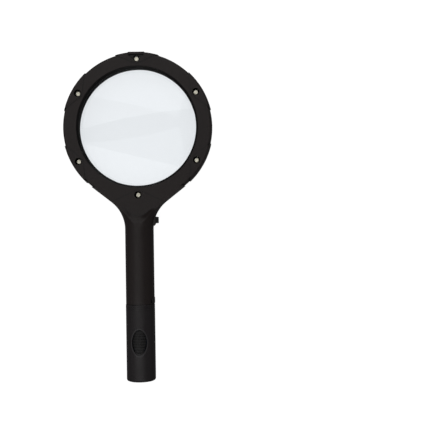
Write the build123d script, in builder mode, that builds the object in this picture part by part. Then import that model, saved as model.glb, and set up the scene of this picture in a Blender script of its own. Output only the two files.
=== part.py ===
from build123d import *
import os
from math import cos, radians, sin

# Lighted hand magnifier: a 90 mm round lens in a ring of two moulded shells, six LEDs round it,
# a tubular handle with two AA cells in line, a push switch on the neck and a battery sleeve that
# pulls off the end of the handle. It lies on its back: +Z is the lit side, +Y runs up the handle
# to the tip of the ring, +X is the switch side. The origin is on the table, under the middle of
# the length. Every "y" below is measured from the lens axis, negative towards the handle's end.

# ---- Driving dimensions, millimetres and degrees ----
HANDLE_END = 190.6       # lens axis to the end of the battery sleeve
AXIS_Z = 10.95           # height of the handle axis and of the parting plane

LENS_R = 45.0
LENS_EDGE = 2.4
LENS_CENTRE = 10.4
LENS_CLEAR_R = 43.95     # the curved faces end here, and a flat rim is left for the shells
BORE_R = 44.1            # window in both shells, which holds the lens by its rim
FRONT_BEVEL = (1.5, 1.8)  # width and depth of the bevel round the window, lit side
REAR_BEVEL = (1.2, 0.8)

RING_R = 56.2            # the outer wall of the ring bulges, and is widest where the shells part
RING_EDGE_R = 54.9       # its radius at both faces
HEAD_T = 18.0            # table to the lit face
FAN_RISE = 0.35          # raised fans round the LEDs, above the face and outside the ring
FAN_GROW = 0.6
FAN_R = RING_R + FAN_GROW
LENS_Y = (HANDLE_END - FAN_R) / 2
FAN_HALF_ANGLE = 16.8
EDGE_ROUND = 0.6
SEAM = 0.15              # bevel on both shells along the outer parting line
WALL = 1.6

NECK_ANGLE = 51.6        # where the straight flanks of the neck leave the ring, below +X and -X
NECK_ARC = 26.0          # concave arc that carries each flank into the tube
TUBE_R = 10.75
TUBE_END = 132.8
SCOOP_TOP = -61.0        # the flat face of the neck narrows from here ...
SCOOP_END = -66.8        # ... to here, and then slopes up to the crown of the tube
SCOOP_MOUTH = 10.5       # half width at the top of the scoop's U, at the level of the face
SCOOP_TIP = 3.6          # half width at its end
SCOOP_SLOPE = 45
SCOOP_BLEND = 7.0        # round between the slope and the crown
CREASE_APEX = 3.7        # the two creases of a fan meet this far inside its LED's axis
CREASE_SLOPE = 0.475     # fall of the creases beside the lowest LED

SPIGOT_R = 9.55          # the battery sleeve slides on this
SPIGOT_LENGTH = 9.7
SPIGOT_BORE = 7.7
END_WALL = 3.8           # thick end of the tube above the spigot

SLEEVE_R = 10.95
SLEEVE_BORE = 9.63
SLEEVE_GAP = 0.3
SLEEVE_FLOOR = 2.0
SLEEVE_ROUND = 1.3

LED_PITCH_R = 51.0
LED_ANGLES = (90, 30, -30, -90, -150, 150)
LED_R = 2.5
LED_HOLE_R = 2.7
LED_BODY = 8.6
LED_FLANGE_R = 2.8
BOARD_Z = 8.6            # underside of the LED board
BOARD_T = 1.0
BOARD_IN = 47.0
BOARD_OUT = 53.0

SCREW_PITCH_R = 50.0
SCREW_ANGLES = (0, 60, 120, 180, 240, 300)
NECK_SCREW = (6.6, -60.2)
POST_R = 2.1
BOSS_R = 3.1
BOSS_TOP = 2.9           # the rear bosses widen below this for the sinks of the screw heads
PILOT_R = 1.05
SCREW_HOLE_R = 1.25
SCREW_SINK_R = 2.45
SCREW_SINK = 1.6
SCREW_TIP_Z = 14.4

CELL_R = 7.25
CELL_BODY = 49.2
CELL_NUB_R = 2.75
CELL_NUB = 1.3
CELL_TOP = 80.45         # lens axis to the tip of the upper cell

SWITCH_Y = -69.95
BUTTON_OUT = 14.6        # handle axis to the button's face, switched off
BUTTON_SIZE = 4.9
BUTTON_CLEAR = 0.08
COLLAR_OUT = 12.4
COLLAR_HALF = 3.5

PAD_Y = -160.4
PAD_LENGTH = 17.4
PAD_WIDTH = 9.6
PAD_GAP = 0.4
PAD_TOP_R = 10.6
PAD_UNDER = 8.35         # handle axis to the underside of the pad
RIB_PITCH = 2.0
OVAL_Y = -161.1
OVAL_LENGTH = 20.9
OVAL_WIDTH = 12.7
OVAL_RIM = 0.8

STRIP_T = 0.3
STRIP_WIDTH = 4.0

MM_BIG = 60.0            # reach of the cutting blocks

os.makedirs("parts", exist_ok=True)

LENS_AXIS = Axis((0, LENS_Y, 0), (0, 0, 1))
HANDLE_AXIS = Axis((0, LENS_Y, AXIS_Z), (0, 1, 0))
PARTING = Plane.XY.offset(AXIS_Z)


def polar(radius, angle):
    return (radius * cos(radians(angle)), radius * sin(radians(angle)))


def level(z, turn=0):
    """Plane parallel to the table at height z, centred on the lens axis and turned about it."""
    return Plane((0, LENS_Y, z), x_dir=(*polar(1, turn), 0), z_dir=(0, 0, 1))


def across(y):
    """Plane across the handle at y, centred on the handle axis, facing the handle's end."""
    return Plane((0, LENS_Y + y, AXIS_Z), x_dir=(1, 0, 0), z_dir=(0, -1, 0))


def along(x):
    """Plane along the handle at x, centred on the handle axis, facing +X. Local X is Y."""
    return Plane((x, LENS_Y, AXIS_Z), x_dir=(0, 1, 0), z_dir=(1, 0, 0))


def lens_section(turn=0):
    """Upright plane through the lens axis: local X is the radius, local Y is the height."""
    return Plane((0, LENS_Y, 0), x_dir=(*polar(1, turn), 0), z_dir=(*polar(1, turn - 90), 0))


def save(part, name):
    part.label = name
    export_step(part, f"parts/{name}.step")


def tube_between(y_high, y_low, radius, bore=0.0, mode=Mode.ADD):
    """A round bar or tube on the handle axis, from y_high down to y_low."""
    with BuildSketch(across(y_high)) as end:
        Circle(radius)
        if bore > 0:
            Circle(bore, mode=Mode.SUBTRACT)
    extrude(end.sketch, amount=y_high - y_low, mode=mode)


def block(x, y, z, mode=Mode.ADD):
    """A block between the pairs x, y (from the lens axis) and z (from the handle axis)."""
    with BuildSketch(level(AXIS_Z + z[0])) as base:
        with Locations(((x[0] + x[1]) / 2, (y[0] + y[1]) / 2)):
            Rectangle(x[1] - x[0], y[1] - y[0])
    extrude(base.sketch, amount=z[1] - z[0], mode=mode)


def post(x, y, radius, z_low, z_high, mode=Mode.ADD):
    """An upright round post or hole at x, y (from the lens axis)."""
    with BuildSketch(level(z_low)) as base:
        with Locations((x, y)):
            Circle(radius)
    extrude(base.sketch, amount=z_high - z_low, mode=mode)


def oval(z, length, width, centre_y, amount, mode=Mode.ADD):
    """An upright oval bar standing on height z above the handle axis."""
    with BuildSketch(level(AXIS_Z + z)) as base:
        with Locations((0, centre_y)):
            Ellipse(width / 2, length / 2)
    extrude(base.sketch, amount=amount, mode=mode)


# ---- Forms shared by both shells ----
def neck_and_tube(inset, end):
    """Turned form of the neck and tube, inset from the outside by a wall thickness."""
    c, s = cos(radians(NECK_ANGLE)), sin(radians(NECK_ANGLE))
    arc_x = TUBE_R + NECK_ARC
    arc_y = (arc_x * c - FAN_R - NECK_ARC) / s
    arc_r = NECK_ARC + inset
    tube_r = TUBE_R - inset
    flank = FAN_R - inset
    start = (flank * c, -flank * s)
    foot = (arc_x - arc_r * c, arc_y + arc_r * s)
    with BuildSketch(level(AXIS_Z)) as profile:
        with BuildLine():
            Polyline((tube_r, arc_y), (tube_r, -end), (0, -end), (0, start[1]), start, foot)
            CenterArc((arc_x, arc_y), arc_r, 180, -NECK_ANGLE)
        make_face()
    revolve(profile.sketch, axis=HANDLE_AXIS)


def scoop_tool(inset):
    """What is cut off above the flat face of the neck, with the scoop that meets the tube."""
    face_z = HEAD_T + FAN_RISE - inset
    crown_z = AXIS_Z + TUBE_R + 0.03 - inset
    top, end = SCOOP_TOP - inset, SCOOP_END - inset
    mouth, tip = SCOOP_MOUTH + inset, SCOOP_TIP + inset
    reach, plate_end = MM_BIG + 10, -78
    with BuildPart() as tool:
        with BuildSketch(level(face_z)) as floor:
            with BuildLine():
                Polyline(
                    (-MM_BIG, -30), (-MM_BIG, top), (-mouth, top), (-tip, end), (tip, end),
                    (mouth, top), (MM_BIG, top), (MM_BIG, -30), close=True,
                )
            make_face()
            fillet(floor.vertices().group_by(Axis.Y)[0], 6.0)
            fillet(floor.vertices().group_by(Axis.Y)[-2].sort_by(Axis.X)[1:-1], 8.0)
        extrude(amount=crown_z - face_z, taper=-SCOOP_SLOPE)
        block((-reach, reach), (plate_end, 0), (crown_z - AXIS_Z, MM_BIG))
        rim = tool.edges().filter_by_position(Axis.Z, crown_z - 0.01, crown_z + 0.01)
        rim = rim.filter_by_position(Axis.X, -reach + 1, reach - 1)
        rim = rim.filter_by_position(Axis.Y, LENS_Y + plate_end + 1, LENS_Y - 1)
        fillet(rim, SCOOP_BLEND)
        block((-reach, reach), (-58, 0), (face_z - AXIS_Z, MM_BIG))
    return tool.part


def ring_section(turn, inner_r, grow, inset, top):
    """Half section of the ring or of a fan: the outer side bulges and is widest at the parting."""
    edge_r, widest_r = RING_EDGE_R + grow - inset, RING_R + grow - inset
    with BuildSketch(lens_section(turn)) as section:
        with BuildLine():
            Polyline((edge_r, inset), (inner_r, inset), (inner_r, top), (edge_r, top))
            TangentArc((widest_r, AXIS_Z), (edge_r, top), tangent=(0, 1))
            TangentArc((widest_r, AXIS_Z), (edge_r, inset), tangent=(0, -1))
        make_face()
        if inset == 0:
            fillet(section.vertices().group_by(Axis.X)[-2], EDGE_ROUND)
    return section.sketch


def shell_form(inset, end, scoop):
    """Whole body of the two shells together, inset by a wall thickness, with the lens window."""
    neck_and_tube(inset, end)
    add(scoop, mode=Mode.SUBTRACT)
    block((-MM_BIG, MM_BIG), (-2 * MM_BIG, 0), (-2 * MM_BIG, inset - AXIS_Z), Mode.SUBTRACT)
    post(0, 0, BORE_R + inset, -MM_BIG, 2 * MM_BIG, Mode.SUBTRACT)
    revolve(ring_section(0, BORE_R + inset, 0, inset, HEAD_T - inset), axis=LENS_AXIS)


def neck_face_step():
    """Drops the face of the neck above the creases of the lowest fan to the ring's face."""
    apex_y = CREASE_APEX - LED_PITCH_R
    x, y = MM_BIG, apex_y - MM_BIG * CREASE_SLOPE
    with BuildSketch(level(HEAD_T)) as above:
        with BuildLine():
            Polyline((0, apex_y), (x, y), (x, 0), (-x, 0), (-x, y), close=True)
        make_face()
    extrude(above.sketch, amount=5, mode=Mode.SUBTRACT)


OUTER_SCOOP = scoop_tool(0)
INNER_SCOOP = scoop_tool(WALL)

with BuildPart() as outside:
    shell_form(0, TUBE_END, OUTER_SCOOP)
    neck_face_step()

with BuildPart() as inside:
    shell_form(WALL, TUBE_END - END_WALL, INNER_SCOOP)

def fan(angle):
    """The sector of the ring behind the LED at this angle, a little proud of its face and rim."""
    half_turn = FAN_HALF_ANGLE + 3
    crease = polar(FAN_R, FAN_HALF_ANGLE)
    beyond = polar(FAN_R + 2, FAN_HALF_ANGLE)
    apex = LED_PITCH_R - CREASE_APEX
    profile = ring_section(angle - half_turn, apex - 1, FAN_GROW, 0, HEAD_T + FAN_RISE)
    with BuildPart() as sector:
        revolve(profile, axis=LENS_AXIS, revolution_arc=2 * half_turn)
        with BuildSketch(level(0, angle)):
            with BuildLine():
                Polyline(
                    (apex, 0), crease, beyond, (beyond[0] + 10, 0),
                    (beyond[0], -beyond[1]), (crease[0], -crease[1]), close=True,
                )
            make_face()
        extrude(amount=MM_BIG, mode=Mode.INTERSECT)
    return sector.part


FANS = [fan(angle) for angle in LED_ANGLES if angle != -90]


def half_form(keep, parting_group):
    """One solid half of the outer form, with a fine bevel along its outer parting edge."""
    with BuildPart() as half:
        add(outside.part)
        add(FANS)
        split(bisect_by=PARTING, keep=keep)
        parting_face = half.faces().filter_by(Axis.Z).group_by(Axis.Z)[parting_group][0]
        chamfer(parting_face.outer_wire().edges(), SEAM)
    return half.part


FRONT_HALF = half_form(Keep.TOP, 0)
REAR_HALF = half_form(Keep.BOTTOM, -1)


# The collar round the switch button, with its slanted lower end.
def switch_collar():
    with BuildSketch(level(AXIS_Z - COLLAR_HALF)) as collar:
        with BuildLine():
            Polyline(
                (8.6, -67.1), (COLLAR_OUT, -67.1), (COLLAR_OUT, -72.8),
                (11.2, -74.3), (8.6, -74.3), close=True,
            )
        make_face()
    extrude(collar.sketch, amount=2 * COLLAR_HALF)


def switch_window():
    half_size = BUTTON_SIZE / 2 + BUTTON_CLEAR
    block((7.5, 15), (SWITCH_Y - half_size, SWITCH_Y + half_size), (-half_size, half_size),
          Mode.SUBTRACT)


# The eye for a wrist cord is a slot beside the tube's thick end, closed by a thin outer bridge.
def cord_bridge():
    block((9.4, 10.85), (-132.6, -128.4), (-3.2, 3.2))


def cord_slot():
    block((8.6, 9.6), (-132.1, -129.1), (-12, 12), Mode.SUBTRACT)


def bevel_window(z, outward, bevel):
    """Bevels the lens window where it meets the face at height z."""
    width, depth = bevel
    with BuildSketch(lens_section()) as edge:
        with BuildLine():
            Polyline(
                (BORE_R - 1, z - outward * depth), (BORE_R, z - outward * depth),
                (BORE_R + width, z), (BORE_R + width, z + outward), (BORE_R - 1, z + outward),
                close=True,
            )
        make_face()
    revolve(edge.sketch, axis=LENS_AXIS, mode=Mode.SUBTRACT)


def screw_places():
    ring = [polar(SCREW_PITCH_R, a) for a in SCREW_ANGLES]
    return ring + [(-NECK_SCREW[0], NECK_SCREW[1]), NECK_SCREW]


def cell_ribs(angles):
    """Ribs inside the tube that steady the upper cell."""
    for angle in angles:
        with BuildSketch(across(-82)) as rib:
            with PolarLocations((CELL_R + 0.3 + TUBE_R - WALL) / 2 + 0.1, 1, start_angle=angle):
                Rectangle(TUBE_R - WALL - CELL_R + 0.1, 1.0)
        extrude(rib.sketch, amount=TUBE_END - END_WALL - 82 + 1)


# ---- Front shell ----
TONGUE_HALF = 6.3
TONGUE_Y = (54.4, 56.0)
with BuildPart() as front_shell:
    add(FRONT_HALF)
    switch_collar()
    cord_bridge()
    bevel_window(HEAD_T, 1, FRONT_BEVEL)
    add(inside.part, mode=Mode.SUBTRACT)
    # Thick pad under the recess at the tip, then the recess and the notch for the tongue.
    block((-8, 8), (47, 54.6), (1.6, 5.2))
    with BuildSketch(level(HEAD_T - 1.9)):
        with BuildLine():
            Polyline((-3.2, 51.0), (3.2, 51.0), (5.7, 53.0), (5.7, 58), (-5.7, 58), (-5.7, 53.0),
                     close=True)
        make_face()
    extrude(amount=5, mode=Mode.SUBTRACT)
    block((-TONGUE_HALF - 0.1, TONGUE_HALF + 0.1), (TONGUE_Y[0] - 0.1, 60), (0, 12), Mode.SUBTRACT)
    cell_ribs((25, 65, 115, 155))
    tube_between(-TUBE_END + 0.01, -TUBE_END - SPIGOT_LENGTH, SPIGOT_R)
    tube_between(-TUBE_END + END_WALL + 1, -TUBE_END - 20, SPIGOT_BORE, mode=Mode.SUBTRACT)
    split(bisect_by=PARTING, keep=Keep.TOP)
    # Slot in the spigot for the finger of the release button.
    block((-2.6, 2.6), (-150, -135.6), (6, 12), Mode.SUBTRACT)
    cord_slot()
    for screw_x, screw_y in screw_places():
        on_board = abs(screw_y) < 56
        post(screw_x, screw_y, POST_R, BOARD_Z + BOARD_T if on_board else AXIS_Z, HEAD_T - 1)
        post(screw_x, screw_y, PILOT_R, 0, SCREW_TIP_Z + 0.6, Mode.SUBTRACT)
    for angle in LED_ANGLES:
        led_x, led_y = polar(LED_PITCH_R, angle)
        post(led_x, led_y, LED_HOLE_R, AXIS_Z, HEAD_T + 5, Mode.SUBTRACT)
    switch_window()
save(front_shell.part, "front_shell")

# ---- Rear shell ----
LENS_Z = AXIS_Z - LENS_EDGE / 2
with BuildPart() as rear_shell:
    add(REAR_HALF)
    switch_collar()
    cord_bridge()
    bevel_window(0, -1, REAR_BEVEL)
    add(inside.part, mode=Mode.SUBTRACT)
    cell_ribs((-25, -65, -115, -155))
    tube_between(-TUBE_END + 0.01, -TUBE_END - SPIGOT_LENGTH, SPIGOT_R)
    tube_between(-TUBE_END + END_WALL + 1, -TUBE_END - 20, SPIGOT_BORE, mode=Mode.SUBTRACT)
    split(bisect_by=PARTING, keep=Keep.BOTTOM)
    # Seat for the rim of the lens.
    post(0, 0, LENS_R + 0.1, AXIS_Z - LENS_EDGE, AXIS_Z + 1, Mode.SUBTRACT)
    # Tongue at the tip, which closes the notch in the front shell.
    with BuildSketch(level(4)):
        with Locations((0, sum(TONGUE_Y) / 2)):
            RectangleRounded(2 * TONGUE_HALF, TONGUE_Y[1] - TONGUE_Y[0], 0.5)
    extrude(amount=HEAD_T - 0.5 - 4)
    # Channel for the contact strip under the cells, open where the sleeve's own strip meets it.
    block((-2.3, 2.3), (-TUBE_END - 20, -TUBE_END + END_WALL + 1), (-8.55, -8.05), Mode.SUBTRACT)
    block((-2.3, 2.3), (-TUBE_END - 20, -TUBE_END - 0.4), (-10, -8.05), Mode.SUBTRACT)
    cord_slot()
    for screw_x, screw_y in screw_places():
        on_board = abs(screw_y) < 56
        post(screw_x, screw_y, BOSS_R, WALL - 0.5, BOSS_TOP)
        post(screw_x, screw_y, POST_R, WALL - 0.5, BOARD_Z if on_board else AXIS_Z)
        post(screw_x, screw_y, SCREW_HOLE_R, -1, AXIS_Z + 1, Mode.SUBTRACT)
        post(screw_x, screw_y, SCREW_SINK_R, -1, SCREW_SINK, Mode.SUBTRACT)
    switch_window()
save(rear_shell.part, "rear_shell")

# ---- Lens: biconvex, held by a plain rim ----
LENS_SAG = (LENS_CENTRE - LENS_EDGE) / 2
LENS_CURVE_R = (LENS_CLEAR_R ** 2 + LENS_SAG ** 2) / (2 * LENS_SAG)
with BuildPart() as lens:
    with BuildSketch(lens_section()):
        with BuildLine():
            Line((0, LENS_Z - LENS_CENTRE / 2), (0, LENS_Z + LENS_CENTRE / 2))
            RadiusArc((0, LENS_Z + LENS_CENTRE / 2), (LENS_CLEAR_R, AXIS_Z), LENS_CURVE_R)
            Polyline((LENS_CLEAR_R, AXIS_Z), (LENS_R, AXIS_Z), (LENS_R, AXIS_Z - LENS_EDGE),
                     (LENS_CLEAR_R, AXIS_Z - LENS_EDGE))
            RadiusArc((LENS_CLEAR_R, AXIS_Z - LENS_EDGE), (0, LENS_Z - LENS_CENTRE / 2),
                      LENS_CURVE_R)
        make_face()
    revolve(axis=LENS_AXIS)
save(lens.part, "lens")

# ---- LEDs and their ring board ----
LED_BASE = BOARD_Z + BOARD_T
LED_TOP = LED_BASE + LED_BODY
for number, angle in enumerate(LED_ANGLES, 1):
    led_x, led_y = polar(LED_PITCH_R, angle)
    with BuildPart() as led:
        post(led_x, led_y, LED_FLANGE_R, LED_BASE, LED_BASE + 1.0)
        post(led_x, led_y, LED_R, LED_BASE, LED_TOP)
        fillet(led.edges().group_by(Axis.Z)[-1], LED_R - 0.05)
        for side in (-1.27, 1.27):
            post(led_x + side, led_y, 0.25, BOARD_Z - 1.5, LED_BASE + 0.2)
    save(led.part, f"led_{number}")

with BuildPart() as led_board:
    with BuildSketch(level(BOARD_Z)):
        Circle(BOARD_OUT)
        Circle(BOARD_IN, mode=Mode.SUBTRACT)
        with PolarLocations(SCREW_PITCH_R, len(SCREW_ANGLES)):
            Circle(SCREW_HOLE_R, mode=Mode.SUBTRACT)
        for angle in LED_ANGLES:
            led_x, led_y = polar(LED_PITCH_R, angle)
            with Locations((led_x - 1.27, led_y), (led_x + 1.27, led_y)):
                Circle(0.3, mode=Mode.SUBTRACT)
    extrude(amount=BOARD_T)
save(led_board.part, "led_board")

# ---- Screws that join the shells from behind ----
with BuildPart() as shell_screws:
    for screw_x, screw_y in screw_places():
        post(screw_x, screw_y, 2.2, 0.3, SCREW_SINK)
        post(screw_x, screw_y, PILOT_R - 0.05, SCREW_SINK - 0.1, SCREW_TIP_Z)
        for size in ((2.6, 0.5), (0.5, 2.6)):
            with BuildSketch(level(0)):
                with Locations((screw_x, screw_y)):
                    Rectangle(*size)
            extrude(amount=0.9, mode=Mode.SUBTRACT)
save(shell_screws.part, "shell_screws")

# ---- Push switch: body, button and the little board behind them ----
SWITCH_FRONT = 6.6
with BuildPart() as switch_body:
    block((0.6, SWITCH_FRONT), (SWITCH_Y - 3.6, SWITCH_Y + 3.6), (-3.6, 3.6))
    fillet(switch_body.edges().filter_by(Axis.X), 0.4)
    with BuildSketch(along(SWITCH_FRONT)):
        with Locations((SWITCH_Y, 0)):
            Rectangle(3.3, 3.3)
    extrude(amount=-3.4, mode=Mode.SUBTRACT)
    for pin_y in (-2.2, 0, 2.2):
        block((-1.6, 0.7), (SWITCH_Y + pin_y - 0.3, SWITCH_Y + pin_y + 0.3), (-0.15, 0.15))
save(switch_body.part, "switch_body")

STEM_HALF = 1.5
with BuildPart() as switch_button:
    half_button = BUTTON_SIZE / 2
    block((9.0, BUTTON_OUT), (SWITCH_Y - half_button, SWITCH_Y + half_button),
          (-half_button, half_button))
    fillet(switch_button.edges().filter_by(Axis.X), 0.6)
    fillet(switch_button.faces().sort_by(Axis.X)[-1].edges(), 0.5)
    block((5.3, 9.1), (SWITCH_Y - STEM_HALF, SWITCH_Y + STEM_HALF), (-STEM_HALF, STEM_HALF))
save(switch_button.part, "switch_button")

with BuildPart() as switch_board:
    with BuildSketch(along(-0.9)):
        with Locations((SWITCH_Y + 1, 0)):
            Rectangle(12.5, 9.0)
        with Locations((SWITCH_Y - 2.2, 0), (SWITCH_Y, 0), (SWITCH_Y + 2.2, 0)):
            Rectangle(0.7, 0.4, mode=Mode.SUBTRACT)
    extrude(amount=-1.0)
save(switch_board.part, "switch_board")

RESISTOR_Y = SWITCH_Y + 5.6
with BuildPart() as resistor:
    block((-2.9, -1.95), (RESISTOR_Y - 0.8, RESISTOR_Y + 0.8), (-1.6, 1.6))
    chamfer(resistor.edges().filter_by(Axis.Y), 0.15)
save(resistor.part, "resistor")

# ---- Cells and contacts in the handle ----
def cell(top):
    """One AA cell with its raised terminal at top, drawn at -top on the handle axis."""
    with BuildPart() as one:
        tube_between(-top, -top - CELL_NUB - 0.2, CELL_NUB_R)
        tube_between(-top - CELL_NUB, -top - CELL_NUB - CELL_BODY, CELL_R)
        fillet(one.edges().filter_by(GeomType.CIRCLE).group_by(SortBy.RADIUS)[-1], 0.5)
    return one.part


CELL_LENGTH = CELL_BODY + CELL_NUB
save(cell(CELL_TOP), "battery_upper")
save(cell(CELL_TOP + CELL_LENGTH + 0.05), "battery_lower")
CELLS_END = CELL_TOP + 2 * CELL_LENGTH + 0.05

with BuildPart() as positive_contact:
    tube_between(-CELL_TOP + 0.45, -CELL_TOP + 0.1, 6.0)
    with BuildSketch(across(-CELL_TOP + 0.1)):
        Circle(1.4)
    extrude(amount=0.1, taper=30)
    block((-1.5, 1.5), (-CELL_TOP + 0.1, -75.0), (5.6, 5.95))
save(positive_contact.part, "positive_contact")

STRIP_TOP = -8.15        # upper face of the strip, from the handle axis
with BuildPart() as tube_strip:
    half_width = STRIP_WIDTH / 2
    block((-half_width, half_width), (-TUBE_END - SPIGOT_LENGTH + 0.6, -75.5),
          (STRIP_TOP - STRIP_T, STRIP_TOP))
    # Spring tip: stands off to meet the strip in the sleeve.
    block((-half_width, half_width), (-TUBE_END - SPIGOT_LENGTH + 0.6, -TUBE_END - 4.0),
          (-9.0, STRIP_TOP - STRIP_T))
save(tube_strip.part, "tube_strip")


def wire(points, radii, radius=0.55):
    """An insulated lead along straight runs and tangent arcs, from the lens and handle axes."""
    places = [(x, LENS_Y + y, AXIS_Z + z) for x, y, z in points]
    with BuildPart() as lead:
        with BuildLine() as route:
            FilletPolyline(*places, radius=radii)
        with BuildSketch(Plane(route.line @ 0, z_dir=route.line % 0)):
            Circle(radius)
        sweep()
    return lead.part


LED_LEAD_END = BOARD_Z + BOARD_T + 0.6 - AXIS_Z
save(wire([(-2.5, -65.4, 2.9), (-3.0, -61.0, 3.3), (-3.4, -56.8, 1.6), (-3.7, -52.8, LED_LEAD_END)],
          [4.0, 4.0]), "led_lead_red")
save(wire([(-2.5, -65.4, -2.9), (-2.6, -61.2, -3.2), (3.2, -57.4, -1.0),
           (3.7, -52.8, LED_LEAD_END)], [2.2, 2.2]), "led_lead_black")
save(wire([(-1.2, -76.6, -7.55), (-2.7, -76.2, -5.0), (-2.5, -72.6, -3.0)], [1.2]),
     "battery_lead")

# ---- Battery sleeve ----
SLEEVE_TOP = TUBE_END + SLEEVE_GAP


def between_shells(inner, outer, z, length, width, centre_y):
    """An upright oval bar cut to the curved layer between two radii on the handle axis."""
    with BuildPart() as layer:
        tube_between(-150, -172, outer, inner)
        oval(z, length, width, centre_y, 20, Mode.INTERSECT)
    return layer.part


oval_rim = between_shells(SLEEVE_R - 0.2, SLEEVE_R + 0.22, 6, OVAL_LENGTH, OVAL_WIDTH, OVAL_Y)
oval_sink = between_shells(SLEEVE_R - 0.75, SLEEVE_R + 2, 6, OVAL_LENGTH - 2 * OVAL_RIM,
                           OVAL_WIDTH - 2 * OVAL_RIM, OVAL_Y)

with BuildPart() as battery_sleeve:
    tube_between(-SLEEVE_TOP, -HANDLE_END, SLEEVE_R)
    fillet(battery_sleeve.edges().group_by(Axis.Y)[0], SLEEVE_ROUND)
    chamfer(battery_sleeve.edges().group_by(Axis.Y)[-1], 0.25)
    for groove_y in (-134.9, -136.4):
        tube_between(groove_y + 0.2, groove_y - 0.2, SLEEVE_R + 1, SLEEVE_R - 0.25, Mode.SUBTRACT)
    add(oval_rim)
    add(oval_sink, mode=Mode.SUBTRACT)
    tube_between(-SLEEVE_TOP + 1, -HANDLE_END + SLEEVE_FLOOR, SLEEVE_BORE, mode=Mode.SUBTRACT)
    oval(5, PAD_LENGTH + 2 * PAD_GAP, PAD_WIDTH + 2 * PAD_GAP, PAD_Y, 20, Mode.SUBTRACT)
    # Ribs that steady the lower cell, clear of the release button and the contact strip.
    for rib_angle in (-60, -20, 20, 160, 200, 240):
        with BuildSketch(across(-146)):
            with PolarLocations((CELL_R + 0.35 + SLEEVE_BORE) / 2 + 0.1, 1, start_angle=rib_angle):
                Rectangle(SLEEVE_BORE - CELL_R - 0.1, 1.0)
        extrude(amount=HANDLE_END - SLEEVE_FLOOR - 146 + 0.5)
save(battery_sleeve.part, "battery_sleeve")

PLATE_T = 0.3
with BuildPart() as spring_plate:
    plate_y = -HANDLE_END + SLEEVE_FLOOR
    tube_between(plate_y + PLATE_T, plate_y, 6.8)
    block((-1.8, 1.8), (plate_y, plate_y + PLATE_T), (-9.1, -6.0))
save(spring_plate.part, "spring_plate")

with BuildPart() as sleeve_strip:
    block((-1.8, 1.8), (plate_y, -TUBE_END - 1.6), (-9.4, -9.1))
save(sleeve_strip.part, "sleeve_strip")

SPRING_WIRE_R = 0.35
SPRING_LENGTH = -CELLS_END - (plate_y + PLATE_T) - 2 * SPRING_WIRE_R - 0.1
with BuildPart() as battery_spring:
    spring_foot = (0, LENS_Y + plate_y + PLATE_T + SPRING_WIRE_R + 0.05, AXIS_Z)
    with BuildLine() as coil:
        Helix(pitch=SPRING_LENGTH / 4, height=SPRING_LENGTH, radius=4.2, center=spring_foot,
              direction=(0, 1, 0), cone_angle=-14)
    with BuildSketch(Plane(coil.line @ 0, z_dir=coil.line % 0)):
        Circle(SPRING_WIRE_R)
    sweep(is_frenet=True)
save(battery_spring.part, "battery_spring")

# ---- Release button: a ribbed oval pad with a finger that reaches into the spigot ----
with BuildPart() as release_button:
    tube_between(PAD_Y + 12, PAD_Y - 12, PAD_TOP_R)
    oval(PAD_UNDER, PAD_LENGTH, PAD_WIDTH, PAD_Y, 8, Mode.INTERSECT)
    for rib in range(-4, 5):
        groove_y = PAD_Y + rib * RIB_PITCH
        tube_between(groove_y + 0.4, groove_y - 0.4, PAD_TOP_R + 1, PAD_TOP_R - 0.45,
                     Mode.SUBTRACT)
    block((-2.2, 2.2), (PAD_Y - PAD_LENGTH / 2 - 2.2, PAD_Y), (PAD_UNDER, PAD_UNDER + 0.7))
    block((-2.0, 2.0), (PAD_Y, -138.4), (PAD_UNDER, PAD_UNDER + 0.7))
save(release_button.part, "release_button")

# A bowed leaf on each side of the pad, standing on the sleeve's wall, pushes it back out.
with BuildPart() as release_spring:
    for side_x in (-3.6, 3.6):
        with BuildSketch(along(side_x - 0.5)):
            with BuildLine():
                ThreePointArc((PAD_Y - 5, 7.0), (PAD_Y, PAD_UNDER - 0.05), (PAD_Y + 5, 7.0))
                Line((PAD_Y + 5, 7.0), (PAD_Y + 5, 6.75))
                ThreePointArc((PAD_Y + 5, 6.75), (PAD_Y, PAD_UNDER - 0.3), (PAD_Y - 5, 6.75))
                Line((PAD_Y - 5, 6.75), (PAD_Y - 5, 7.0))
            make_face()
        extrude(amount=1.0)
save(release_spring.part, "release_spring")
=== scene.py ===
# Looks, light and camera for the lighted hand magnifier. Metres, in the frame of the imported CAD.
import math

import bmesh
import bpy
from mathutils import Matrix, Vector


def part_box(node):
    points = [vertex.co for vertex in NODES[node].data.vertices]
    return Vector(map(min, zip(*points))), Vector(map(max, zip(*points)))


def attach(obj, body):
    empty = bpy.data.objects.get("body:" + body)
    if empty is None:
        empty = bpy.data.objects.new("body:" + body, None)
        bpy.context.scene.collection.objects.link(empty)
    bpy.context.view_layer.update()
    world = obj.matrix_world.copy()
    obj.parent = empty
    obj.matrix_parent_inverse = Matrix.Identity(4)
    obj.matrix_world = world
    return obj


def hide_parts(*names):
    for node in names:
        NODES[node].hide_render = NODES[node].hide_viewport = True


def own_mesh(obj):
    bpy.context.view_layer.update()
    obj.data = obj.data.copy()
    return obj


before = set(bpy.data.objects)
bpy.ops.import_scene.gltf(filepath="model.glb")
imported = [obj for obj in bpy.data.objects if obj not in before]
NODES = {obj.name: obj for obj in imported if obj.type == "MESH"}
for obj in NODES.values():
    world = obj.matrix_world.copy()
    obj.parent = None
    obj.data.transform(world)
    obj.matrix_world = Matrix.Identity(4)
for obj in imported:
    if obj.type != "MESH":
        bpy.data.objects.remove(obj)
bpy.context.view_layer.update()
MM = 0.001


# ---- Places read from the frame ----
def middle(node):
    low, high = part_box(node)
    return (low + high) / 2


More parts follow.
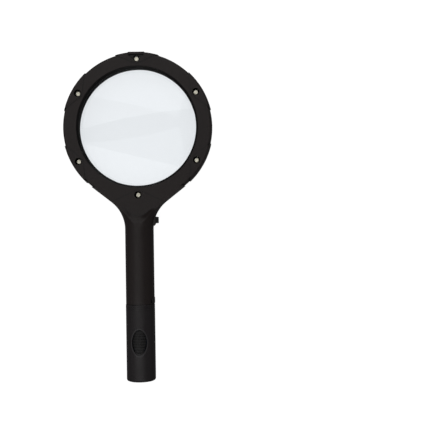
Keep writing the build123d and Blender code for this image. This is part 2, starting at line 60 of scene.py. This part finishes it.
LENS = middle("lens")
LENS_LOW, LENS_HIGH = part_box("lens")
AXIS_Z = middle("battery_upper").z       # height of the handle's axis
WINDOW_R = (LENS_HIGH.x - LENS_LOW.x) / 2 + 0.6 * MM   # outer edge of the bevel round the lens
RIM_Y = LENS.y - 161.1 * MM              # middle of the oval rim round the release button
RIM_HALF_WIDTH, RIM_HALF_LENGTH = 6.35 * MM, 10.45 * MM
CELLS_TOP_Y = -13.7 * MM                 # tip of the upper cell
CELL_LENGTH = 50.5 * MM


# ---- Node material helpers ----
class Shader:
    """A node material that is built up from left to right, with one Principled shader."""

    def __init__(self, name):
        self.material = bpy.data.materials.new(name)
        self.material.use_nodes = True
        self.tree = self.material.node_tree
        self.tree.nodes.clear()
        self.output = self.add("ShaderNodeOutputMaterial")
        self.principled = self.add("ShaderNodeBsdfPrincipled")
        self.link(self.principled.outputs[0], self.output.inputs["Surface"])
        self.coordinates = self.add("ShaderNodeTexCoord").outputs["Object"]

    def add(self, kind, **settings):
        node = self.tree.nodes.new(kind)
        for key, value in settings.items():
            setattr(node, key, value)
        return node

    def link(self, source, target):
        self.tree.links.new(source, target)

    def set(self, **values):
        for key, value in values.items():
            self.principled.inputs[key.replace("_", " ")].default_value = value

    def feed(self, socket, value):
        if hasattr(value, "links"):
            self.link(value, socket)
        else:
            socket.default_value = value

    def scaled(self, factors):
        node = self.add("ShaderNodeMapping")
        self.link(self.coordinates, node.inputs["Vector"])
        node.inputs["Scale"].default_value = factors
        return node.outputs[0]

    def noise(self, size, detail=3.0, roughness=0.55, vector=None):
        """Noise with features of about this size in metres."""
        node = self.add("ShaderNodeTexNoise")
        self.link(vector or self.coordinates, node.inputs["Vector"])
        node.inputs["Scale"].default_value = 1 / size
        node.inputs["Detail"].default_value = detail
        node.inputs["Roughness"].default_value = roughness
        return node.outputs["Fac"]

    def dots(self, size):
        """Distance to the nearest of scattered points that are about this far apart in metres."""
        node = self.add("ShaderNodeTexVoronoi", feature="F1")
        self.link(self.coordinates, node.inputs["Vector"])
        node.inputs["Scale"].default_value = 1 / size
        return node.outputs["Distance"]

    def spread(self, value, low, high, new_low=0.0, new_high=1.0):
        """Maps low..high to new_low..new_high, held at both ends."""
        node = self.add("ShaderNodeMapRange")
        self.feed(node.inputs["Value"], value)
        for name, number in zip(("From Min", "From Max", "To Min", "To Max"),
                                (low, high, new_low, new_high)):
            node.inputs[name].default_value = number
        return node.outputs["Result"]

    def vary(self, noise, low=0.0, high=1.0):
        """Maps a noise, whose values lie mostly between 0.3 and 0.7, to low..high."""
        return self.spread(noise, 0.3, 0.7, low, high)

    def math(self, operation, first, second=0.0):
        node = self.add("ShaderNodeMath", operation=operation)
        self.feed(node.inputs[0], first)
        self.feed(node.inputs[1], second)
        return node.outputs[0]

    def axis(self, name):
        node = self.add("ShaderNodeSeparateXYZ")
        self.link(self.coordinates, node.inputs[0])
        return node.outputs[name]

    def mix(self, factor, first, second):
        """Colour from first at 0 to second at 1, by the node's colour sockets 6, 7 and 2."""
        node = self.add("ShaderNodeMix", data_type="RGBA")
        self.feed(node.inputs["Factor"], factor)
        self.feed(node.inputs[6], first)
        self.feed(node.inputs[7], second)
        return node.outputs[2]

    def bump(self, height, depth, strength=1.0):
        node = self.add("ShaderNodeBump")
        self.link(height, node.inputs["Height"])
        node.inputs["Distance"].default_value = depth
        node.inputs["Strength"].default_value = strength
        return node.outputs["Normal"]

    def edge(self, radius):
        """1 within this distance of a sharp edge, 0 on open faces."""
        bevel = self.add("ShaderNodeBevel", samples=4)
        bevel.inputs["Radius"].default_value = radius
        geometry = self.add("ShaderNodeNewGeometry")
        dot = self.add("ShaderNodeVectorMath", operation="DOT_PRODUCT")
        self.link(bevel.outputs[0], dot.inputs[0])
        self.link(geometry.outputs["Normal"], dot.inputs[1])
        flat, sharp = 0.98, 0.8
        return self.spread(dot.outputs["Value"], flat, sharp)

    def crease_shade_mask(self, reach):
        """1 where faces within reach close in, as in gaps, corners and folds, and 0 on open faces:
        the mask of painted shade.
        """
        node = self.add("ShaderNodeAmbientOcclusion", samples=6)
        node.inputs["Distance"].default_value = reach
        closed, nearly_open = 0.72, 0.985
        return self.spread(node.outputs["AO"], closed, nearly_open, 1.0, 0.0)

    def finish(self, colour, roughness=None, normal=None):
        self.feed(self.principled.inputs["Base Color"], colour)
        if roughness is not None:
            self.feed(self.principled.inputs["Roughness"], roughness)
        if normal is not None:
            self.link(normal, self.principled.inputs["Normal"])
        return self.material


def rgb(red, green, blue):
    return (red, green, blue, 1.0)


def radial(s, x, y):
    """Distance of (x, y) from (0, 0)."""
    squares = s.math("ADD", s.math("MULTIPLY", x, x), s.math("MULTIPLY", y, y))
    return s.math("SQRT", squares)


def window_bevel_shade(s):
    """1 on the bevel and wall of the lens window, which get painted shade, 0 on the faces of the
    ring.
    """
    radius = radial(s, s.axis("X"), s.math("SUBTRACT", s.axis("Y"), LENS.y))
    return s.spread(radius, WINDOW_R - 0.1 * MM, WINDOW_R, 1.0, 0.0)


def pad_rim_highlight(s):
    """1 on the front of the raised oval rim round the release button, which gets a painted
    highlight.
    """
    x = s.math("DIVIDE", s.axis("X"), RIM_HALF_WIDTH)
    y = s.math("DIVIDE", s.math("SUBTRACT", s.axis("Y"), RIM_Y), RIM_HALF_LENGTH)
    oval = radial(s, x, y)      # 1 along the outer edge of the rim
    past_inner, within_outer = s.spread(oval, 0.84, 0.88), s.spread(oval, 1.0, 1.04, 1.0, 0.0)
    front = s.spread(s.axis("Z"), AXIS_Z, AXIS_Z + MM)
    return s.math("MULTIPLY", s.math("MULTIPLY", past_inner, within_outer), front)


# ---- Materials ----
# Sizes and colours of the marks in moulded plastic, with painted shade in folds and round the lens
# window, and a painted highlight round the release button.
CLOUD, HANDLING, GRAIN, GRAIN_DEPTH = 30 * MM, 12 * MM, 0.35 * MM, 0.03 * MM
SPECK_PITCH, WORN_WIDTH, CREASE_SHADE_REACH = 3.2 * MM, 0.5 * MM, 1.5 * MM
WORN, SPECK, CREASE_SHADE = rgb(0.05, 0.047, 0.045), rgb(0.16, 0.15, 0.14), rgb(0.001, 0.001, 0.001)
RIM_HIGHLIGHT, BEVEL_SHADE = rgb(0.04, 0.037, 0.04), rgb(0.0018, 0.0014, 0.0014)
FINE_DEPTH = 0.01 * MM    # bump depth of the other materials


def moulded(name, dark, light, roughness, specular, bevel=None, highlight_mask=None):
    """Spark-grained plastic with specks, handling marks, paler worn edges and painted shade where
    faces close in.

    bevel and the other function mask an area of painted shade and an area of painted highlight."""
    s = Shader(name)
    s.set(Specular_IOR_Level=specular)
    specks = s.spread(s.dots(SPECK_PITCH), 0.02, 0.06, 1.0, 0.0)
    worn = s.edge(WORN_WIDTH)
    colour = s.mix(s.vary(s.noise(CLOUD, 4.0)), dark, light)
    colour = s.mix(s.math("MULTIPLY", worn, 0.35), colour, WORN)
    colour = s.mix(s.math("MULTIPLY", specks, 0.12), colour, SPECK)
    # painted shade: near black where faces within reach close in, in gaps, corners and folds
    colour = s.mix(s.crease_shade_mask(CREASE_SHADE_REACH), colour, CREASE_SHADE)
    # painted highlight: the rim round the release button is made paler on its front
    if highlight_mask:
        colour = s.mix(s.math("MULTIPLY", highlight_mask(s), 0.75), colour, RIM_HIGHLIGHT)
    # painted shade: the bevel and wall of the lens window are made near black
    if bevel:
        colour = s.mix(bevel(s), colour, BEVEL_SHADE)
    rough = s.vary(s.noise(HANDLING, 5.0), roughness - 0.05, roughness + 0.06)
    rough = s.math("SUBTRACT", rough, s.math("MULTIPLY", worn, 0.12))
    return s.finish(colour, rough, s.bump(s.noise(GRAIN, 2.0, 0.6), GRAIN_DEPTH, 0.6))


def clear_solid(name, colour, ior, roughness, shadow):
    """Glass or clear resin that lets light straight through to what lies in and under it."""
    s = Shader(name)
    s.set(Transmission_Weight=1.0, IOR=ior, Base_Color=colour, Roughness=roughness)
    path = s.add("ShaderNodeLightPath")
    clear = s.add("ShaderNodeBsdfTransparent")
    clear.inputs["Color"].default_value = shadow
    both = s.add("ShaderNodeMixShader")
    s.link(path.outputs["Is Shadow Ray"], both.inputs[0])
    s.link(s.principled.outputs[0], both.inputs[1])
    s.link(clear.outputs[0], both.inputs[2])
    s.link(both.outputs[0], s.output.inputs["Surface"])
    return s.material


def phosphor():
    """Yellowish dome whose faint glow stands in for the glints in the switched-off LEDs."""
    s = Shader("led_phosphor")
    s.set(Specular_IOR_Level=0.6, Emission_Color=rgb(1.0, 0.95, 0.78), Emission_Strength=0.12)
    patches = s.vary(s.noise(0.4 * MM))
    colour = s.mix(patches, rgb(0.93, 0.87, 0.66), rgb(0.99, 0.97, 0.88))
    return s.finish(colour, 0.45, s.bump(s.noise(0.1 * MM), 2 * FINE_DEPTH))


def metal(name, colour, roughness, stretch=(1, 1, 1)):
    """Plated metal with faint stains, and scratches that stretch can draw out along an axis."""
    s = Shader(name)
    s.set(Metallic=1.0)
    scratches = s.noise(0.4 * MM, 4.0, 0.6, s.scaled(stretch))
    stained = rgb(*(0.72 * c for c in colour[:3]))
    tint = s.mix(s.spread(s.noise(4 * MM, 4.0), 0.35, 0.7), colour, stained)
    rough = s.vary(scratches, roughness - 0.08, roughness + 0.1)
    return s.finish(tint, rough, s.bump(scratches, FINE_DEPTH, 0.5))


def cell_jacket():
    """Scuffed foil jacket: a dark label between two plain grey rings, and bare can ends."""
    s = Shader("cell_jacket")
    s.set(Coat_Weight=0.5, Coat_Roughness=0.15)
    from_end = s.math("PINGPONG", s.math("SUBTRACT", s.axis("Y"), CELLS_TOP_Y), CELL_LENGTH / 2)
    bare_end = s.spread(from_end, 1.2 * MM, 2.2 * MM, 1.0, 0.0)
    label = s.spread(from_end, 8.5 * MM, 8.8 * MM)
    colour = s.mix(label, rgb(0.33, 0.34, 0.36), rgb(0.03, 0.05, 0.11))
    colour = s.mix(bare_end, colour, rgb(0.55, 0.54, 0.52))
    scuffs = s.noise(1.1 * MM, 5.0, 0.7, s.scaled((1, 0.2, 1)))
    colour = s.mix(s.spread(scuffs, 0.62, 0.72, 0.0, 0.25), colour, rgb(0.5, 0.5, 0.5))
    return s.finish(colour, s.vary(scuffs, 0.22, 0.42), s.bump(scuffs, FINE_DEPTH, 0.4))


def board(name, mask, bare):
    """Circuit board: solder mask over tracks that show faintly, on woven glass."""
    s = Shader(name)
    s.set(Coat_Weight=0.3, Coat_Roughness=0.2)
    threads = 9000.0            # radians per metre, 0.7 mm from thread to thread
    warp, weft = (s.math("SINE", s.math("MULTIPLY", s.axis(along), threads)) for along in "XY")
    turns = 60.0                # radians over the whole range of the noise
    contours = s.math("SINE", s.math("MULTIPLY", s.noise(6 * MM, 0.0), turns))
    tracks = s.spread(contours, 0.7, 0.8)
    colour = s.mix(s.math("MULTIPLY", tracks, 0.35), mask, bare)
    return s.finish(colour, 0.38, s.bump(s.math("MULTIPLY", warp, weft), FINE_DEPTH, 0.3))


def plain_plastic(name, dark, light, roughness, size=2 * MM, specular=0.5):
    """Plain plastic with clouds of this size and finer marks."""
    s = Shader(name)
    s.set(Specular_IOR_Level=specular)
    colour = s.mix(s.vary(s.noise(size, 4.0)), dark, light)
    rough = s.vary(s.noise(size / 3, 3.0), roughness - 0.05, roughness + 0.07)
    return s.finish(colour, rough, s.bump(s.noise(size / 9, 2.0), FINE_DEPTH, 0.5))


# The shell has painted shade on the bevel and wall of the lens window.
SHELL = moulded("shell_plastic", rgb(0.0108, 0.0062, 0.0056), rgb(0.0142, 0.0088, 0.0081),
                0.46, 0.37, bevel=window_bevel_shade)
SPRING_STEEL = metal("spring_steel", rgb(0.6, 0.6, 0.59), 0.28)
NICKEL = metal("contact_metal", rgb(0.62, 0.60, 0.55), 0.3, (4, 0.3, 4))
JACKET = cell_jacket()
BLACK_LEAD = plain_plastic("lead_black", rgb(0.012, 0.012, 0.012), rgb(0.02, 0.02, 0.02), 0.42)
EPOXY = clear_solid("led_epoxy", rgb(0.97, 0.98, 0.95), 1.5, 0.02, rgb(1, 1, 1))
MATERIALS = {
    "front_shell": SHELL,
    "rear_shell": SHELL,
    # The sleeve has a painted highlight on the rim round the release button.
    "battery_sleeve": moulded("sleeve_plastic", rgb(0.0093, 0.0064, 0.0077),
                              rgb(0.0120, 0.0090, 0.0104), 0.44, 0.40, highlight_mask=pad_rim_highlight),
    "release_button": moulded("pad_plastic", rgb(0.0062, 0.0056, 0.0062),
                              rgb(0.009, 0.0083, 0.009), 0.5, 0.28),
    "switch_button": plain_plastic("button_plastic", rgb(0.01, 0.01, 0.01),
                                   rgb(0.016, 0.016, 0.016), 0.12, 3 * MM, 0.6),
    "lens": clear_solid("lens_glass", rgb(0.784, 0.812, 0.836), 1.49, 0.0,
                        rgb(0.92, 0.93, 0.94)),
    "led_board": board("led_board", rgb(0.008, 0.009, 0.008), rgb(0.03, 0.03, 0.028)),
    "switch_board": board("switch_board", rgb(0.02, 0.12, 0.045), rgb(0.05, 0.2, 0.08)),
    "shell_screws": metal("screw_steel", rgb(0.5, 0.5, 0.5), 0.35),
    "battery_spring": SPRING_STEEL,
    "release_spring": SPRING_STEEL,
    "battery_upper": JACKET,
    "battery_lower": JACKET,
    "switch_body": plain_plastic("switch_plastic", rgb(0.02, 0.02, 0.022),
                                 rgb(0.035, 0.035, 0.037), 0.5),
    "resistor": plain_plastic("resistor_body", rgb(0.02, 0.02, 0.025), rgb(0.04, 0.04, 0.045), 0.4),
    "led_lead_red": plain_plastic("lead_red", rgb(0.3, 0.012, 0.012), rgb(0.4, 0.02, 0.016), 0.42),
    "led_lead_black": BLACK_LEAD,
    "battery_lead": BLACK_LEAD,
}
for strip in ("positive_contact", "tube_strip", "sleeve_strip", "spring_plate"):
    MATERIALS[strip] = NICKEL
for number in range(1, 7):
    MATERIALS[f"led_{number}"] = EPOXY
for name, node in NODES.items():
    node.data.materials.clear()
    node.data.materials.append(MATERIALS[name])


# ---- Reflector cups and phosphor inside the LEDs ----
def turned(name, outline, centre, material, body, steps=48):
    """A solid of revolution on an upright axis, from an outline of (radius, height) pairs."""
    mesh = bpy.data.meshes.new(name)
    form = bmesh.new()
    rings = []
    for radius, height in outline:
        count = steps if radius else 1      # the outline meets the axis in a single point
        angles = [2 * math.pi * k / steps for k in range(count)]
        rings.append([form.verts.new((centre.x + radius * math.cos(a),
                                      centre.y + radius * math.sin(a),
                                      centre.z + height)) for a in angles])
    for low, high in zip(rings, rings[1:]):
        for k in range(steps):
            corners = [low[k % len(low)], low[(k + 1) % len(low)],
                       high[(k + 1) % len(high)], high[k % len(high)]]
            form.faces.new(list(dict.fromkeys(corners)))
    bmesh.ops.recalc_face_normals(form, faces=form.faces)
    form.to_mesh(mesh)
    form.free()
    for face in mesh.polygons:
        face.use_smooth = True
    piece = bpy.data.objects.new(name, mesh)
    bpy.context.scene.collection.objects.link(piece)
    mesh.materials.append(material)
    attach(piece, body)


CUP_DROP = 3.2 * MM       # top of the dome to the rim of the cup
# Outlines in millimetres: the silver cup on its lead, and the domed phosphor in the cup.
CUP = [(0, -5.0), (0.3, -5.0), (0.3, -1.4), (0.7, -1.1), (0.98, 0.1), (0.9, 0.13), (0.6, -0.6),
       (0, -0.6)]
GLOW = [(0, -0.55), (0.58, -0.55), (0.86, 0.05), (0.6, 0.14), (0, 0.2)]
CUP_METAL = metal("cup_silver", rgb(0.72, 0.70, 0.64), 0.28)
PHOSPHOR = phosphor()
for number in range(1, 7):
    place = middle(f"led_{number}")
    place.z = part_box(f"led_{number}")[1].z - CUP_DROP
    turned(f"led_cup_{number}", [(r * MM, h * MM) for r, h in CUP], place, CUP_METAL, "body")
    turned(f"led_phosphor_{number}", [(r * MM, h * MM) for r, h in GLOW], place, PHOSPHOR, "body")


# ---- Bowed leaves under the release button: a copy of the spring that moves with the sleeve, in place of the spring part ----
leaves = bpy.data.objects.new("release_leaves", NODES["release_spring"].data.copy())
bpy.context.scene.collection.objects.link(leaves)
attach(leaves, "sleeve")
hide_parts("release_spring")
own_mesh(leaves)


# ---- Camera: straight above, with the object up and to the left of the middle ----
FIELD = 0.340            # width of the view at the middle of the object's thickness
DISTANCE = 0.550
MID_HEIGHT = 0.009
SIDE, DOWN = 0.0640, 0.0737   # lens axis to the middle of the view
ROLL = math.radians(-0.8)
camera_data = bpy.data.cameras.new("camera")
camera_data.sensor_width = 36
camera_data.lens = camera_data.sensor_width * DISTANCE / FIELD
camera = bpy.data.objects.new("camera", camera_data)
camera.location = (LENS.x + SIDE, LENS.y - DOWN, MID_HEIGHT + DISTANCE)
camera.rotation_euler = (0, 0, ROLL)
bpy.context.scene.collection.objects.link(camera)
bpy.context.scene.camera = camera


# ---- Floor and light ----
FLOOR_GLOW, FLOOR_BOUNCE_GLOW = 0.95, 0.07    # as the camera sees it, and for light that bounces
SKY_GLOW, ROOM_GLOW = 1.0, 0.09               # the same two of what lies past the floor
FLOOR_REACH, FLOOR_DROP = 6.0, 0.05 * MM


def seen_directly(shader):
    """1 for what the camera sees, also through glass, and 0 for light that bounces."""
    path = shader.add("ShaderNodeLightPath")
    bounces = shader.math("ADD", path.outputs["Diffuse Depth"], path.outputs["Glossy Depth"])
    return shader.math("LESS_THAN", bounces, 0.5)


def floor():
    """A wide pale floor just under the object."""
    mesh = bpy.data.meshes.new("floor")
    signs = ((-1, -1), (1, -1), (1, 1), (-1, 1))
    corners = [(x * FLOOR_REACH, y * FLOOR_REACH, 0) for x, y in signs]
    mesh.from_pydata(corners, [], [(0, 1, 2, 3)])
    plane = bpy.data.objects.new("floor", mesh)
    plane.location.z = -FLOOR_DROP
    bpy.context.scene.collection.objects.link(plane)
    s = Shader("floor_white")
    s.set(Roughness=0.9, Specular_IOR_Level=0.0, Emission_Color=rgb(1, 1, 1))
    direct = seen_directly(s)
    glow = s.spread(direct, 0, 1, FLOOR_BOUNCE_GLOW, FLOOR_GLOW)
    s.link(glow, s.principled.inputs["Emission Strength"])
    mesh.materials.append(s.finish(s.mix(direct, rgb(0.08, 0.08, 0.08), rgb(0.3, 0.3, 0.3))))


def softbox(name, place, size, radiance):
    """A rectangular lamp that faces the object."""
    light = bpy.data.lights.new(name, "AREA")
    light.shape = "RECTANGLE"
    light.size, light.size_y = size
    light.energy = radiance * math.pi * size[0] * size[1]
    lamp = bpy.data.objects.new(name, light)
    lamp.location = place
    lamp.rotation_mode = "QUATERNION"
    lamp.rotation_quaternion = Vector(place).to_track_quat("Z", "Y")
    bpy.context.scene.collection.objects.link(lamp)


def surround():
    """White where the camera looks past the floor, and dim for light that bounces."""
    world = bpy.data.worlds.new("studio")
    world.use_nodes = True
    tree = world.node_tree
    path = tree.nodes.new("ShaderNodeLightPath")
    bounces = tree.nodes.new("ShaderNodeMath")
    tree.links.new(path.outputs["Diffuse Depth"], bounces.inputs[0])
    tree.links.new(path.outputs["Glossy Depth"], bounces.inputs[1])
    brightness = tree.nodes.new("ShaderNodeMapRange")
    brightness.inputs["To Min"].default_value = SKY_GLOW
    brightness.inputs["To Max"].default_value = ROOM_GLOW
    tree.links.new(bounces.outputs[0], brightness.inputs["Value"])
    tree.links.new(brightness.outputs[0], tree.nodes["Background"].inputs["Strength"])
    tree.nodes["Background"].inputs["Color"].default_value = rgb(1, 1, 1)
    bpy.context.scene.world = world


floor()
surround()
# Each box with its place, width and depth in metres, and radiance.
softbox("box_far", (-0.15, 0.95, 1.50), (2.2, 1.1), 1.0)
softbox("box_near", (-0.15, -0.60, 1.55), (2.2, 1.0), 1.0)
softbox("box_left", (-1.5, 0.0, 0.7), (1.6, 1.0), 0.22)
softbox("box_right", (1.5, -0.3, 0.6), (1.6, 1.0), 0.16)
softbox("box_tip", (0.3, 1.7, 0.45), (1.8, 0.7), 1.1)
softbox("box_end", (-0.3, -1.7, 0.45), (1.8, 0.7), 0.5)
bpy.context.scene.view_settings.view_transform = "Standard"
